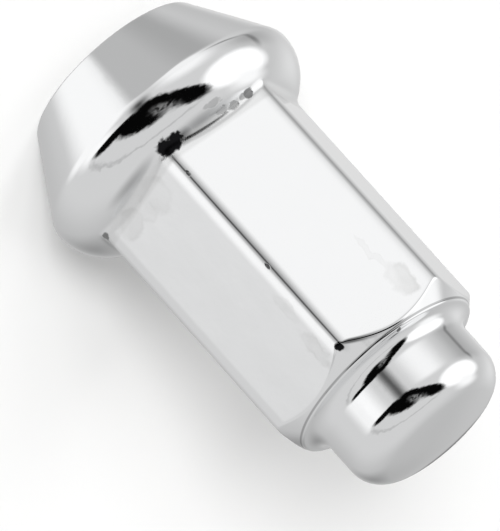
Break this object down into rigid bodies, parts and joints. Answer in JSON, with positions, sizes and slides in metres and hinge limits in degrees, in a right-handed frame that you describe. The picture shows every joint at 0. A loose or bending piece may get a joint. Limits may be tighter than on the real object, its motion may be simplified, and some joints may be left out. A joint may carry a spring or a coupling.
{
  "type": "lug nut",
  "caption": "Closed-end wheel lug nut: hexagonal body, bulged collar with a cone seat, blind threaded hole and a domed tip, chrome plated.",
  "frame": {"origin": "centre of the flat open end face, on the thread's axis", "axes": "+Z along the thread's axis from the open seat end to the dome; two of the hexagon's flats face +Y and -Y, and two of its corners lie on the X axis"},
  "size_m": [0.026, 0.0258, 0.044],
  "materials": {
    "chrome_plate": "bright decorative chrome plate over forged steel"
  },
  "bodies": {
    "root": {"lug_nut": "chrome_plate"}
  },
  "joints": []
}
